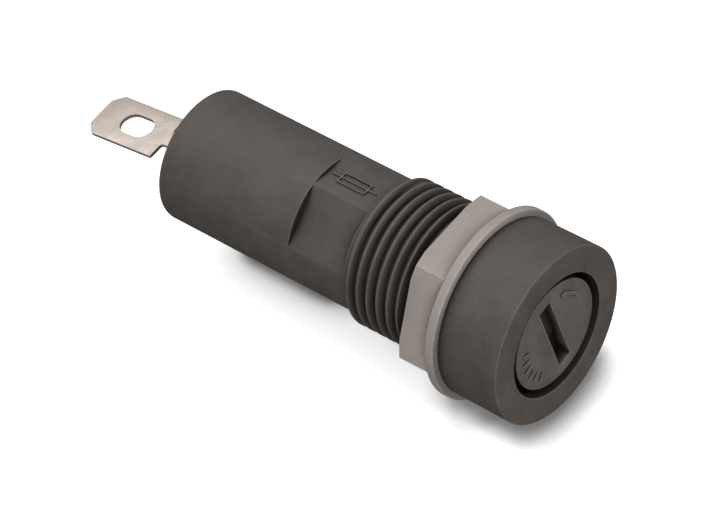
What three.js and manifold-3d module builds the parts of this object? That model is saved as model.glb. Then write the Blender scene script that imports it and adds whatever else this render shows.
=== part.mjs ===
// Panel-mounted cartridge fuse holder with its 5 x 20 mm fuse inside.
// Millimetres. The origin is the middle of the panel seat, the plane of the back of the bezel.
// The front of the holder faces -Y, its tail points to +Y, and +Z is up.
import * as THREE from "three";
import { mergeVertices } from "three/addons/utils/BufferGeometryUtils.js";
import Module from "manifold-3d";

const wasm = await Module();
wasm.setup();

// ---------------------------------------------------------------- driving dimensions
const ROUND = 24; // sides of a large round
const SMALL_ROUND = 16; // sides of a small round
const PITCH = 1.0; // right-hand thread
const THREAD = { major: 6.25, root: 5.7, start: 0.55, end: 10.675, crest: 0.22 };
const BEZEL = { front: -5.67, radius: 7.55, edge: 0.18 };
const BARREL = { radius: 5.66, end: 30.2, edge: 0.25 };
const BORE = { radius: 4.55, mouth: 5.25, ring: 4.8 };
const POCKET = { radius: 3.3, start: 21.0, end: 26.45 }; // the rear of the bore, behind the fuse
const BAYONET = { ledgeFront: -3.6, ledgeBack: -2.3, trackEnd: -0.9, groove: 5.18 };
const BAYONET_TURN = { lockedAt: 97, by: 90, halfAngle: 11 };
const SHOULDER = { start: 11.0, end: 16.6 }; // the stretch of barrel that carries the flats
const SIDE_FLAT = { distance: 5.0, at: 128.5 };
const LABEL_PAD = { distance: 5.4, at: 81.8 };
const TERMINAL_LAND = { distance: 5.0, at: 270 };
const WASHER = { start: 0.06, end: 0.83, radius: 8.05, bore: 6.4 };
const NUT = { start: 0.86, end: 3.85, acrossFlats: 13.9, cornerDrop: 0.27, bore: 5.92 };
const CAP = { front: -5.43, radius: 4.7, skirtEnd: -1.5, stem: 4.35, stemEnd: 5.5 };
const CAVITY = { radius: 3.45, front: -3.2 }; // inside the cap, open to the rear
const CAP_SLOT = { length: 7.14, width: 1.36, depth: 1.2 };
const LUG = { front: -2.05, reach: 5.08, halfAngle: 8 };
const THRUST_DISC = { front: -3.05, back: -2.75, radius: 3.3, bore: 1.2 };
const CAP_SPRING = { start: -2.62, end: -0.72, radius: 2.6, wire: 0.2, turns: 2.5 };
const CLIP = { front: -0.6, inside: 2.72, wall: 0.3, bulge: 3.95, bulgeAt: 7.8, end: 9.0, slit: 0.6 };
const FUSE = { front: -0.1, length: 20, capRadius: 2.6, capLength: 5, capWall: 0.14 };
const GLASS = { radius: 2.44, bore: 1.9 };
const SOLDER = { radius: 1.3, height: 0.7 };
const FUSE_WIRE = 0.12;
const SLEEVE = { start: 6.3, end: 15.2, inside: 4.12, outside: 4.47, slit: 0.6 };
const RIVET = { at: 13.4, shank: 0.8, hole: 0.92, innerHead: 1.35, outerHead: 1.5, head: 0.35 };
const SIDE_BLADE = { width: 4.5, neck: 3.6, thickness: 0.5, end: 27.0 };
const SIDE_JOG = { footStart: 11.6, bendStart: 15.2, bendEnd: 16.4, drop: 2.0 };
const CUP = { front: 21.35, back: 25.8, outside: 3.2, inside: 2.92, floor: 0.25, lip: 2.15 };
const PLUNGER = { nose: 20.2, noseRadius: 1.9, bore: 1.1 };
const PLUNGER_FLANGE = { start: 21.85, end: 22.35, radius: 2.78 };
const CONTACT_SPRING = { start: 22.45, end: 25.45, radius: 2.2, wire: 0.22, turns: 4.5 };
const REAR_TAB = { width: 4.5, thickness: 0.35, neck: 1.5, shoulder: 4.0, length: 11.7 };
const REAR_BEND = { angle: -8.7, behindWall: 0.25 };
const REAR_FOOT = 3.1;
const TAB_CHAMFER = 0.9;
const TAB_HOLE = { width: 2.14, length: 3.3, fromTip: 4.2 };

// ---------------------------------------------------------------- colours and finishes
const FINISH = {
  plastic: { color: 0x4c4744, roughness: 0.62, metalness: 0 },
  greyPlastic: { color: 0x938c87, roughness: 0.55, metalness: 0 },
  tinned: { color: 0xc9bcb4, roughness: 0.4, metalness: 0.9 },
  spring: { color: 0x8f9196, roughness: 0.35, metalness: 1 },
  brass: { color: 0xb8945a, roughness: 0.35, metalness: 1 },
  nickel: { color: 0xb9b6b0, roughness: 0.28, metalness: 1 },
  glass: { color: 0xe6eeee, roughness: 0.05, metalness: 0, transparent: true, opacity: 0.35 },
};

// ---------------------------------------------------------------- solids
const rad = THREE.MathUtils.degToRad;

// A closed geometry as a manifold, turned so that its faces point out.
function solid(geometry) {
  const bare = geometry.index ? geometry.toNonIndexed() : geometry.clone();
  bare.deleteAttribute("normal");
  bare.deleteAttribute("uv");
  const merged = mergeVertices(bare, 1e-4);
  const triVerts = new Uint32Array(merged.index.array);
  const vertProperties = merged.attributes.position.array;
  const made = new wasm.Manifold(new wasm.Mesh({ numProp: 3, vertProperties, triVerts }));
  if (made.volume() > 0) return made;
  for (let i = 0; i < triVerts.length; i += 3)
    [triVerts[i + 1], triVerts[i + 2]] = [triVerts[i + 2], triVerts[i + 1]];
  return new wasm.Manifold(new wasm.Mesh({ numProp: 3, vertProperties, triVerts }));
}

const union = (...parts) => parts.reduce((sum, next) => sum.add(next));
const cut = (body, ...tools) => tools.reduce((left, tool) => left.subtract(tool), body);

// A round piece about Y from its closed outline of [radius, y] points.
function turned(outline, sides = ROUND) {
  const points = outline.map(([radius, y]) => new THREE.Vector2(radius, y));
  if (outline[0][0] > 0) points.push(points[0].clone());
  return solid(new THREE.LatheGeometry(points, sides));
}

const disc = (radius, start, end, sides = ROUND) =>
  turned([[0, start], [radius, start], [radius, end], [0, end]], sides);

const ring = (inside, outside, start, end, sides = ROUND) =>
  turned([[inside, start], [outside, start], [outside, end], [inside, end]], sides);

const extrude = (shape, depth) =>
  new THREE.ExtrudeGeometry(shape, { depth, bevelEnabled: false, curveSegments: 8 });

// A drawing in the X-Z plane, carried along Y.
function extrudeAlongY(shape, start, end) {
  const geometry = extrude(shape, end - start);
  const place = geometry.attributes.position;
  for (let i = 0; i < place.count; i++)
    place.setXYZ(i, place.getX(i), start + place.getZ(i), place.getY(i));
  return solid(geometry);
}

// A drawing in the X-Y plane, carried along Z.
const extrudeAlongZ = (shape, low, high) => solid(extrude(shape, high - low).translate(0, 0, low));

const block = (low, high) =>
  solid(
    new THREE.BoxGeometry(...high.map((value, i) => value - low[i])).translate(
      ...high.map((value, i) => (value + low[i]) / 2)
    )
  );

// A slice of ring about Y between two angles, counted from +X towards +Z.
function sector(inside, outside, from, to, start, end) {
  const shape = new THREE.Shape();
  shape.absarc(0, 0, outside, rad(from), rad(to), false);
  shape.absarc(0, 0, inside, rad(to), rad(from), true);
  return extrudeAlongY(shape, start, end);
}

// A section of [radius, y] points carried round Y on a right-hand helix.
function helix(section, { turns, pitch, sides }) {
  const shape = new THREE.Shape(section.map(([radius, y]) => new THREE.Vector2(radius, y)));
  const steps = Math.round(turns * sides);
  const geometry = new THREE.ExtrudeGeometry(shape, { depth: turns, steps, bevelEnabled: false });
  const place = geometry.attributes.position;
  for (let i = 0; i < place.count; i++) {
    const [radius, y, turn] = [place.getX(i), place.getY(i), place.getZ(i)];
    const angle = turn * 2 * Math.PI;
    place.setXYZ(i, radius * Math.cos(angle), y + pitch * turn, -radius * Math.sin(angle));
  }
  return solid(geometry);
}

// The thread's ridge with 60 degree flanks, from just below the root to the crest. The nut's groove
// is the same ridge made taller and wider by its running clearance.
function threadRidge(start, end, { taller = 0, wider = 0 } = {}) {
  const crest = THREAD.major + taller;
  const top = THREAD.crest / 2 + wider;
  const foot = 0.485 * PITCH;
  const footRadius = crest - (foot - top) / Math.tan(rad(30));
  const section = [
    [footRadius, start - foot],
    [crest, start - top],
    [crest, start + top],
    [footRadius, start + foot],
  ];
  return helix(
    section,
    { turns: (end - start) / PITCH, pitch: PITCH, sides: ROUND }
  );
}

// A coil spring between two planes, made of round wire.
function coil({ start, end, radius, wire, turns }, sides) {
  const section = [];
  for (let i = 0; i < 6; i++)
    section.push([radius + wire * Math.cos(rad(60 * i)), start + wire + wire * Math.sin(rad(60 * i))]);
  return helix(section, { turns, pitch: (end - start - 2 * wire) / turns, sides });
}

// Everything on the far side of a flat that stands `distance` from the axis, facing `angle`.
function flatCut({ distance, at }, start, end) {
  const size = 8;
  const tool = new THREE.BoxGeometry(size, end - start, 2 * size);
  tool.translate(distance + size / 2, (start + end) / 2, 0);
  return solid(tool.rotateY(-rad(at)));
}

// ---------------------------------------------------------------- the holder body
function makeHolderBody() {
  const { front, radius, edge } = BEZEL;
  const lastEdge = BARREL.end - BARREL.edge;
  let body = turned([
    [BORE.mouth, front],
    [radius - edge, front],
    [radius, front + edge],
    [radius - 0.05, 0],
    [THREAD.root, 0],
    [THREAD.root, SHOULDER.start - 0.15],
    [BARREL.radius, SHOULDER.start - 0.1],
    [BARREL.radius, lastEdge],
    [BARREL.radius - BARREL.edge, BARREL.end],
    [0, BARREL.end],
    [0, POCKET.end],
    [POCKET.radius, POCKET.end],
    [POCKET.radius, POCKET.start],
    [BORE.radius, POCKET.start],
    [BORE.radius, BAYONET.trackEnd],
    [BORE.ring, BAYONET.trackEnd],
    [BORE.ring, BAYONET.ledgeFront],
    [BORE.mouth, BAYONET.ledgeFront],
  ]);
  body = body.add(threadRidge(THREAD.start, THREAD.end));
  const { groove, ledgeFront, ledgeBack } = BAYONET;
  const depth = BAYONET.trackEnd + 0.1;
  for (const lug of [0, 180]) {
    const locked = BAYONET_TURN.lockedAt + lug;
    const open = locked + BAYONET_TURN.by;
    const swing = BAYONET_TURN.halfAngle;
    body = cut(
      body,
      sector(4, groove, open - swing, open + swing, ledgeFront - 0.1, depth),
      sector(4, groove, locked - swing, open + swing, ledgeBack, depth)
    );
  }
  const slotHalf = REAR_TAB.thickness / 2 + 0.1;
  const neckHalf = REAR_TAB.neck / 2 + 0.1;
  return cut(
    body,
    flatCut(SIDE_FLAT, SHOULDER.start, SHOULDER.end),
    flatCut(LABEL_PAD, SHOULDER.start, SHOULDER.end),
    flatCut(TERMINAL_LAND, SHOULDER.start, SHOULDER.end),
    rivetHole(),
    block([-neckHalf, POCKET.end - 1, -slotHalf], [neckHalf, BARREL.end + 1, slotHalf])
  );
}

function rivetHole() {
  const drill = new THREE.CylinderGeometry(RIVET.hole, RIVET.hole, 4, 16);
  return solid(drill.rotateX(rad(90)).translate(0, RIVET.at, -TERMINAL_LAND.distance));
}

// ---------------------------------------------------------------- the panel nut and its washer
function makeWasher() {
  const { start, end, radius, bore } = WASHER;
  const round = 0.2;
  return turned([
    [bore, start],
    [radius - round, start],
    [radius, start + round],
    [radius, end - round],
    [radius - round, end],
    [bore, end],
  ]);
}

function makeNut() {
  const { start, end, acrossFlats, cornerDrop } = NUT;
  const corner = acrossFlats / Math.sqrt(3);
  const hexagon = new THREE.Shape();
  for (let i = 0; i < 6; i++) {
    const method = i ? "lineTo" : "moveTo";
    hexagon[method](corner * Math.cos(rad(60 * i)), corner * Math.sin(rad(60 * i)));
  }
  const crown = turned([
    [0, start],
    [corner + 0.2, start],
    [corner + 0.2, end - cornerDrop - 0.05],
    [acrossFlats / 2, end],
    [0, end],
  ]);
  const runIn = 2 * PITCH;
  return cut(
    extrudeAlongY(hexagon, start, end).intersect(crown),
    disc(NUT.bore, start - 1, end + 1),
    threadRidge(THREAD.start - runIn, THREAD.start + 3 * runIn, { taller: 0.12, wider: 0.07 })
  );
}

// ---------------------------------------------------------------- the bayonet cap
function makeCap() {
  const { front, radius, skirtEnd, stem, stemEnd } = CAP;
  const edge = 0.15;
  let cap = turned([
    [0, front],
    [radius - edge, front],
    [radius, front + edge],
    [radius, skirtEnd],
    [stem, skirtEnd],
    [stem, stemEnd],
    [CAVITY.radius, stemEnd],
    [CAVITY.radius, CAVITY.front],
    [0, CAVITY.front],
  ]);
  for (const turn of [0, 180]) {
    const middle = BAYONET_TURN.lockedAt + turn;
    const edges = [middle - LUG.halfAngle, middle + LUG.halfAngle];
    cap = cap.add(sector(radius - 0.4, LUG.reach, ...edges, LUG.front, skirtEnd));
  }
  const { length, width, depth } = CAP_SLOT;
  const slot = new THREE.BoxGeometry(length, 2 * depth, width);
  return cut(cap, solid(slot.rotateY(-rad(BAYONET_TURN.lockedAt)).translate(0, front, 0)));
}

const makeThrustDisc = () =>
  ring(THRUST_DISC.bore, THRUST_DISC.radius, THRUST_DISC.front, THRUST_DISC.back, SMALL_ROUND);

// A sprung cup that grips the front of the fuse, with a bulge that rubs on the contact sleeve.
function makeClip() {
  const { front, inside, wall, bulge, bulgeAt, end, slit } = CLIP;
  const outside = inside + wall;
  const neck = CAP.stemEnd + 0.9;
  const clip = turned(
    [
      [0, front],
      [outside, front],
      [outside, neck],
      [bulge, bulgeAt],
      [outside + 0.2, end],
      [outside - 0.1, end],
      [bulge - wall, bulgeAt],
      [inside, neck],
      [inside, front + wall],
      [0, front + wall],
    ],
    SMALL_ROUND
  );
  const reach = 2 * bulge + 1;
  const slitStart = 0.7;
  const slits = [45, 135].map((angle) => {
    const saw = new THREE.BoxGeometry(reach, end, slit).translate(0, slitStart + end / 2, 0);
    return solid(saw.rotateY(rad(angle)));
  });
  return cut(clip, ...slits);
}

// ---------------------------------------------------------------- the fuse
function makeFuseCap(front, towardsTail) {
  const { capRadius, capLength, capWall } = FUSE;
  const back = front + capLength * towardsTail;
  const wallEnd = front + 0.25 * towardsTail;
  return turned(
    [
      [0, front],
      [capRadius - 0.2, front],
      [capRadius, front + 0.2 * towardsTail],
      [capRadius, back],
      [capRadius - capWall, back],
      [capRadius - capWall, wallEnd],
      [0, wallEnd],
    ],
    SMALL_ROUND
  );
}

function makeSolder(wall, towardsTail) {
  const { radius, height } = SOLDER;
  const face = wall + 0.02 * towardsTail;
  const at = (share) => face + height * share * towardsTail;
  const dome = [
    [0, at(0)],
    [radius, at(0)],
    [radius * 0.8, at(0.55)],
    [radius * 0.4, at(0.92)],
    [0, at(1)],
  ];
  return turned(dome, 12);
}

function makeFuse() {
  const rear = FUSE.front + FUSE.length;
  const frontWall = FUSE.front + 0.25;
  const rearWall = rear - 0.25;
  const wireStart = frontWall + SOLDER.height + 0.04;
  const wireEnd = rearWall - SOLDER.height - 0.04;
  return {
    fuse_front_cap: [makeFuseCap(FUSE.front, 1), "nickel"],
    fuse_glass_tube: [
      ring(GLASS.bore, GLASS.radius, frontWall + 0.05, rearWall - 0.05, SMALL_ROUND),
      "glass",
    ],
    fuse_rear_cap: [makeFuseCap(rear, -1), "nickel"],
    fuse_solder_front: [makeSolder(frontWall, 1), "tinned"],
    fuse_solder_rear: [makeSolder(rearWall, -1), "tinned"],
    fuse_element: [disc(FUSE_WIRE, wireStart, wireEnd, 8), "spring"],
  };
}

// ---------------------------------------------------------------- contacts and terminals
function makeSleeve() {
  const { start, end, inside, outside, slit } = SLEEVE;
  const gap = block([-slit / 2, start - 1, 0], [slit / 2, end + 1, outside + 1]);
  return cut(ring(inside, outside, start, end), gap, rivetHole());
}

// A blade's outline in the X-Y plane: neck first, then the wide blade with its two clipped corners.
function bladeOutline(neck, width, neckStart, shoulder, tip) {
  const half = width / 2;
  const outline = [
    [neck / 2, neckStart],
    [neck / 2, shoulder],
    [half, shoulder],
    [half, tip - TAB_CHAMFER],
    [half - TAB_CHAMFER, tip],
  ];
  const mirrored = outline.map(([x, y]) => [-x, y]).reverse();
  const shape = new THREE.Shape([...outline, ...mirrored].map(([x, y]) => new THREE.Vector2(x, y)));
  const straight = (TAB_HOLE.length - TAB_HOLE.width) / 2;
  const middle = tip - TAB_HOLE.fromTip;
  const hole = new THREE.Path();
  hole.absarc(0, middle + straight, TAB_HOLE.width / 2, 0, Math.PI, false);
  hole.absarc(0, middle - straight, TAB_HOLE.width / 2, Math.PI, 2 * Math.PI, false);
  shape.holes.push(hole);
  return shape;
}

function makeSideTerminal() {
  const { width, neck, thickness, end } = SIDE_BLADE;
  const { footStart, bendStart, bendEnd, drop } = SIDE_JOG;
  const top = -TERMINAL_LAND.distance - 0.03;
  const profile = [
    [footStart, top],
    [bendStart, top],
    [bendEnd, top - drop],
    [end, top - drop],
    [end, top - drop - thickness],
    [bendEnd - 0.1, top - drop - thickness],
    [bendStart - 0.1, top - thickness],
    [footStart, top - thickness],
  ];
  const strip = new THREE.Shape(profile.map(([y, z]) => new THREE.Vector2(y, z)));
  const band = new THREE.ExtrudeGeometry(strip, { depth: width, bevelEnabled: false });
  const place = band.attributes.position;
  for (let i = 0; i < place.count; i++)
    place.setXYZ(i, place.getZ(i) - width / 2, place.getX(i), place.getY(i));
  const outline = bladeOutline(neck, width, footStart - 1, bendEnd + 0.5, end);
  return cut(solid(band).intersect(extrudeAlongZ(outline, -12, 0)), rivetHole());
}

// A headed pin through the terminal, the barrel wall and the sleeve.
function makeSideRivet() {
  const outer = -TERMINAL_LAND.distance - SIDE_BLADE.thickness - 0.08;
  const inner = -3.84;
  const { shank, innerHead, outerHead, head } = RIVET;
  const pin = turned(
    [
      [0, outer - head],
      [outerHead * 0.7, outer - head],
      [outerHead, outer - head * 0.4],
      [outerHead, outer],
      [shank, outer],
      [shank, inner],
      [innerHead, inner],
      [innerHead, inner + head],
      [0, inner + head],
    ],
    16
  );
  return pin.rotate([90, 0, 0]).translate([0, RIVET.at, 0]);
}

function makeContactCup() {
  const { front, back, outside, inside, floor, lip } = CUP;
  return turned(
    [
      [0, back - floor],
      [inside, back - floor],
      [inside, front + floor],
      [lip, front + floor],
      [lip, front],
      [outside, front],
      [outside, back],
      [0, back],
    ],
    SMALL_ROUND
  );
}

function makePlunger() {
  const { nose, noseRadius, bore } = PLUNGER;
  const { start, end, radius } = PLUNGER_FLANGE;
  return turned(
    [
      [0, nose],
      [noseRadius - 0.5, nose],
      [noseRadius, nose + 0.45],
      [noseRadius, start],
      [radius, start],
      [radius, end],
      [bore, end],
      [bore, start - 0.8],
      [0, start - 0.8],
    ],
    SMALL_ROUND
  );
}

// A stamped strip: a foot behind the contact cup, a neck through the end wall and a blade outside.
function makeRearTerminal() {
  const { width, thickness, neck, shoulder, length } = REAR_TAB;
  const half = thickness / 2;
  const footFront = CUP.back + 0.06;
  const footBack = POCKET.end - 0.06;
  const plate = disc(REAR_FOOT, footFront, footBack, SMALL_ROUND).intersect(
    block([-REAR_FOOT, footFront - 1, -REAR_FOOT], [REAR_FOOT, footBack + 1, half])
  );
  const bendAt = BARREL.end + REAR_BEND.behindWall;
  const through = block([-neck / 2, footFront + 0.1, -half], [neck / 2, bendAt + 0.05, half]);
  const flat = extrudeAlongZ(bladeOutline(neck, width, 0, shoulder, length), -half, half);
  const blade = flat.rotate([REAR_BEND.angle, 0, 0]).translate([0, bendAt, 0]);
  return union(plate, through, blade);
}

// ---------------------------------------------------------------- assembly
const PIECES = {
  holder_body: [makeHolderBody(), "plastic"],
  flange_washer: [makeWasher(), "greyPlastic"],
  mounting_nut: [makeNut(), "greyPlastic"],
  carrier_cap: [makeCap(), "plastic"],
  cap_thrust_disc: [makeThrustDisc(), "brass"],
  cap_spring: [coil(CAP_SPRING, 16), "spring"],
  fuse_clip: [makeClip(), "tinned"],
  ...makeFuse(),
  contact_sleeve: [makeSleeve(), "tinned"],
  side_terminal: [makeSideTerminal(), "tinned"],
  side_rivet: [makeSideRivet(), "brass"],
  contact_cup: [makeContactCup(), "brass"],
  contact_plunger: [makePlunger(), "brass"],
  contact_spring: [coil(CONTACT_SPRING, 16), "spring"],
  rear_terminal: [makeRearTerminal(), "tinned"],
};

function toMesh(name, [piece, finish]) {
  const { vertProperties, triVerts } = piece.getMesh();
  const geometry = new THREE.BufferGeometry();
  geometry.setAttribute("position", new THREE.BufferAttribute(vertProperties, 3));
  geometry.setIndex(new THREE.BufferAttribute(triVerts, 1));
  const mesh = new THREE.Mesh(geometry, new THREE.MeshStandardMaterial(FINISH[finish]));
  mesh.name = name;
  return mesh;
}

const fuseHolder = new THREE.Group();
for (const [name, piece] of Object.entries(PIECES)) fuseHolder.add(toMesh(name, piece));

export default fuseHolder;
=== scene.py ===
"""Panel-mounted fuse holder for a 5 x 20 mm glass cartridge fuse, built piece by piece on its frame.

The front of the holder faces -Y, its tail points to +Y and +Z is up. Shapes are modelled in millimetres
and brought to metres when a piece is finished. Angles round the barrel run from +X towards +Z.
"""

import math
from types import SimpleNamespace

import bmesh
import bpy
from mathutils import Matrix, Vector


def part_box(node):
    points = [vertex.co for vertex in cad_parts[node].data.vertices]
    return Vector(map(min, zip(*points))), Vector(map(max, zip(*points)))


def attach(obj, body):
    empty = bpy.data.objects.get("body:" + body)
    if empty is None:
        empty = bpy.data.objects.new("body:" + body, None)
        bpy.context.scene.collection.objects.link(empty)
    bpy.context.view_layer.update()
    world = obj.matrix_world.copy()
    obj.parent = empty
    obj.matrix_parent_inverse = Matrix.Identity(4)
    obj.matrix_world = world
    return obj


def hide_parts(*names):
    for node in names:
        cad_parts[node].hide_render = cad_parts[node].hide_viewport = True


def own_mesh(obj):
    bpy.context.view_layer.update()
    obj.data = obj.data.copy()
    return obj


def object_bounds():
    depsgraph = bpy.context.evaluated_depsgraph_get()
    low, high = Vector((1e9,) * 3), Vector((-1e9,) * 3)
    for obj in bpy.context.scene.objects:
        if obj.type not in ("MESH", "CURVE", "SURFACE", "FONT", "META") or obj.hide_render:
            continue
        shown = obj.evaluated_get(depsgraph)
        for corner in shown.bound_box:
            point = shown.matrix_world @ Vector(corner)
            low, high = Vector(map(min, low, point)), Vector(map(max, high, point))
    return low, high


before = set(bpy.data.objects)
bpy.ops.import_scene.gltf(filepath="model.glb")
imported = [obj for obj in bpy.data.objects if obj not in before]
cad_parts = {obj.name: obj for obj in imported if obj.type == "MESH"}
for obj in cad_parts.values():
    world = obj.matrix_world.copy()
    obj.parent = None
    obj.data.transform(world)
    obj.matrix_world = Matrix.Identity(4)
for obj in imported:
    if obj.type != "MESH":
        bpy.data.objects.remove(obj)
CAD_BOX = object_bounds()

bl_info = {
    "name": "Cartridge Fuse Holder",
    "version": (1, 0, 0),
    "blender": (4, 5, 0),
    "location": "3D View > Sidebar > Fuse Holder",
    "description": "Builds a panel-mounted fuse holder with its fuse, contacts, terminals, nut and cap",
    "category": "Add Mesh",
}

MM = 0.001
ROUND = 96  # sides of a large round
SMALL_ROUND = 48
SHARP = math.radians(28)  # faces that meet at more than this keep a hard edge
AXIS = Vector((0, 1, 0))
ACROSS = Vector((1, 0, 0))
FULL_TURN = 2 * math.pi
PAST = 1  # how far a cutting tool runs past what it cuts, in millimetres
SUNK = 0.1  # the overlap of shapes and tools that meet, in millimetres
APART = 0.004  # keeps the corners of joined shapes from meeting, in millimetres
CAP_COIL_TURNS = 2.5
CONTACT_COIL_TURNS = 4.5
FUSE_WIRE_TURNS = 14
UNDER = 0.0002  # the floor's distance below the holder, in metres
CAMERA_TURN = (-38.94, 49.17, -15.7)  # azimuth, elevation and roll, in degrees
CAMERA_AIM = (-5.63, 8.52, 6.48)  # the point in the middle of the picture, in millimetres
CAMERA_RANGE = 346.8  # the camera's distance from that point, in millimetres
CAMERA_LENS = 231.4
LAMPS = (  # name, place, side of the square and power
    ("key", (0.06, 0.40, 0.62), 0.8, 3.7),
    ("front", (0.35, -0.62, 0.30), 0.4, 2.6),
    ("fill", (-0.45, -0.45, 0.25), 0.5, 3.0),
)


# ---------------------------------------------------------------- sizes and colours
def length(name, description, millimetres):
    """A length property, kept in metres."""
    return bpy.props.FloatProperty(
        name=name, description=description, default=millimetres * MM, unit="LENGTH", precision=5
    )


def angle(name, description, degrees):
    """An angle property, kept in radians."""
    return bpy.props.FloatProperty(
        name=name, description=description, default=math.radians(degrees), subtype="ANGLE"
    )


def colour(name, description, *rgb):
    """A colour property."""
    return bpy.props.FloatVectorProperty(
        name=name, description=description, default=rgb, subtype="COLOR", size=3, min=0, max=1
    )


class BodySizes(bpy.types.PropertyGroup):
    """Sizes of the moulded body that its bounding box does not give."""

    barrel: length("Barrel Radius", "Outside of the plain barrel", 5.66)
    bezel_back: length("Bezel Back Radius", "The bezel narrows slightly to the panel", 7.5)
    bore: length("Bore Radius", "Bore for the fuse carrier", 4.55)
    mouth: length("Mouth Radius", "Recess for the cap's head", 5.25)
    ring: length("Bayonet Ring Radius", "Ledge behind the cap's head", 4.8)
    groove: length("Bayonet Groove Radius", "Track for the cap's lugs", 5.18)
    swing: angle("Track Play", "Half of the angle that a lug's entry covers", 11)
    pocket: length("Pocket Radius", "Rear bore for the sprung contact", 3.3)
    pocket_start: length("Pocket Start", "Where the rear bore begins", 21.0)
    pocket_end: length("Pocket End", "Inside of the rear wall", 26.45)
    ledge_front: length("Ledge Front", "Front of the bayonet ledge", -3.6)
    ledge_back: length("Ledge Back", "Back of the bayonet ledge", -2.3)
    track_end: length("Track End", "Back of the bayonet track", -0.9)
    track_reach: length("Track Reach", "How far inside the bore the track's cutter starts", 0.55)
    flats_start: length("Flats Start", "Front end of the barrel's flats", 11.0)
    flats_end: length("Flats End", "Rear end of the barrel's flats", 16.6)
    flat: length("Flat Distance", "Side flat, from the axis", 5.0)
    flat_at: angle("Flat Angle", "Which way the side flat faces", 128.5)
    pad: length("Label Pad Distance", "Label pad, from the axis", 5.4)
    pad_at: angle("Label Pad Angle", "Which way the label pad faces", 81.8)
    mark_relief: length("Mark Relief", "How far the label's lines stand out", 0.12)
    mark_line: length("Mark Line", "Width of the label's lines", 0.14)
    terminal_at: angle("Terminal Angle", "Which way the side terminal faces", 270)
    rim_edge: length("Rim Edge", "Rounding of the bezel's two rims", 0.1)
    mouth_edge: length("Mouth Edge", "Rounding of the recess", 0.06)
    tail_edge: length("Tail Edge", "Rounding of the barrel's rear end", 0.22)
    slot_play: length("Slot Play", "Room round the rear terminal's neck", 0.1)
    mark_width: length("Symbol Width", "Half of the fuse symbol's width", 0.62)
    mark_length: length("Symbol Length", "Half of the fuse symbol's length", 1.4)
    mark_wire: length("Symbol Wire", "Half of the length of the line through the symbol", 2.2)
    mark_edge: length("Symbol Edge", "Rounding of the symbol's lines", 0.025)
    mark_behind: length("Symbol Place", "How far it stands behind the pad's middle", 0.1)


class ThreadSizes(bpy.types.PropertyGroup):
    """The right-hand thread on the body and in the nut."""

    pitch: length("Pitch", "Rise in one turn", 1.0)
    major: length("Major Radius", "Outside of the thread", 6.25)
    root: length("Root Radius", "Bottom of the thread", 5.7)
    start: length("Start", "First crest", 0.55)
    end: length("End", "Last crest", 10.675)
    shoulder: length("Shoulder", "Rear end of the threaded length", 10.85)
    crest: length("Crest Width", "Width of the crest", 0.22)
    run_out: length("Run Out Radius", "Disc that fills the last groove on one side", 5.5)
    run_out_start: length("Run Out Start", "Front of that disc, ahead of the last crest", 0.79)
    run_out_end: length("Run Out End", "Back of that disc, ahead of the last crest", 0.2)
    run_out_offset: length("Run Out Offset", "How far that disc stands off the axis", 0.65)
    run_out_at: angle("Run Out Angle", "Which side of the last groove is filled", 10)
    clearance: length("Clearance", "Radial play between nut and body", 0.12)


class NutSizes(bpy.types.PropertyGroup):
    """The panel nut and its washer."""

    washer_bore: length("Washer Bore", "Inside radius of the washer", 6.4)
    washer_edge: length("Washer Edge", "Rounding of the washer's rim", 0.1)
    bore: length("Nut Bore", "Minor radius of the nut's thread", 5.92)
    crown: length("Crown Radius", "Where the turned corners begin", 7.4)
    corner_drop: length("Corner Drop", "How far the corners are turned down at the back", 0.27)
    edge: length("Nut Edge", "Rounding of the nut's edges", 0.1)
    bore_edge: length("Washer Bore Edge", "Rounding of the washer's bore", 0.06)
    groove_play: length("Groove Play", "How much wider the nut's groove is on each side", 0.07)


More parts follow.
